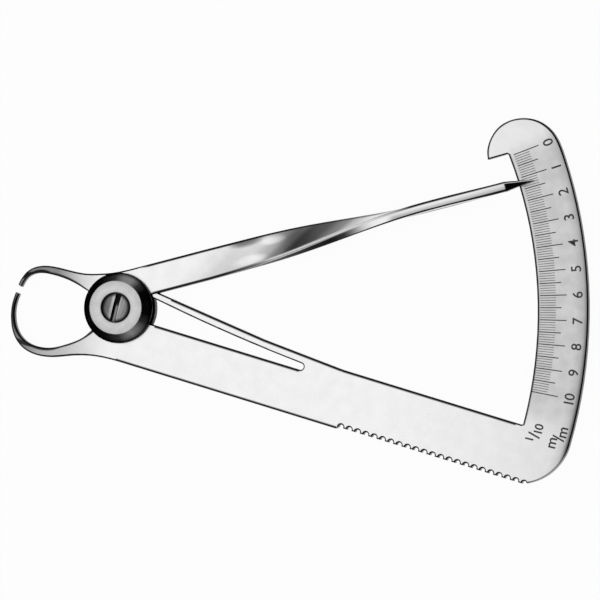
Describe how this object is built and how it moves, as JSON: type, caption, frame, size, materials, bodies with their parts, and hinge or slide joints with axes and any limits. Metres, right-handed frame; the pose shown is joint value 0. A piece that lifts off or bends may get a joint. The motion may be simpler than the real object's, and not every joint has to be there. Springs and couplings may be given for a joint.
{
  "type": "dental caliper",
  "caption": "Flat dental lever caliper: curved jaws, bevelled pivot disc, serrated plate with an engraved arc scale, leaf spring and twisted pointer arm.",
  "frame": {"origin": "on the pivot axis, in the flat back face of the rear disc that the caliper rests on", "axes": "+Z along the pivot axis towards the graduated face, +X from the jaws towards the arc scale, +Y towards the zero end of the scale"},
  "size_m": [0.103, 0.0634, 0.0054],
  "materials": {
    "plate_steel": "satin stainless",
    "disc_steel": "turned and polished stainless",
    "screw_steel": "dull turned stainless"
  },
  "bodies": {
    "scale_body": {"scale_arm": "plate_steel", "leaf_spring": "plate_steel", "front_disc": "disc_steel", "rear_disc": "disc_steel", "pivot_screw": "screw_steel", "pivot_bush": "screw_steel", "hub_washer": "screw_steel", "spring_washer": "screw_steel"},
    "pointer_body": {"pointer_arm": "plate_steel"}
  },
  "joints": [
    {"name": "pointer_hinge", "type": "hinge", "parent": "scale_body", "child": "pointer_body", "pos_m": [0, 0, 0.00175], "axis": [0, 0, -1], "range_deg": [-4, 27.77], "stiffness_Nm_per_rad": 0.15, "deforming": ["leaf_spring"]}
  ]
}
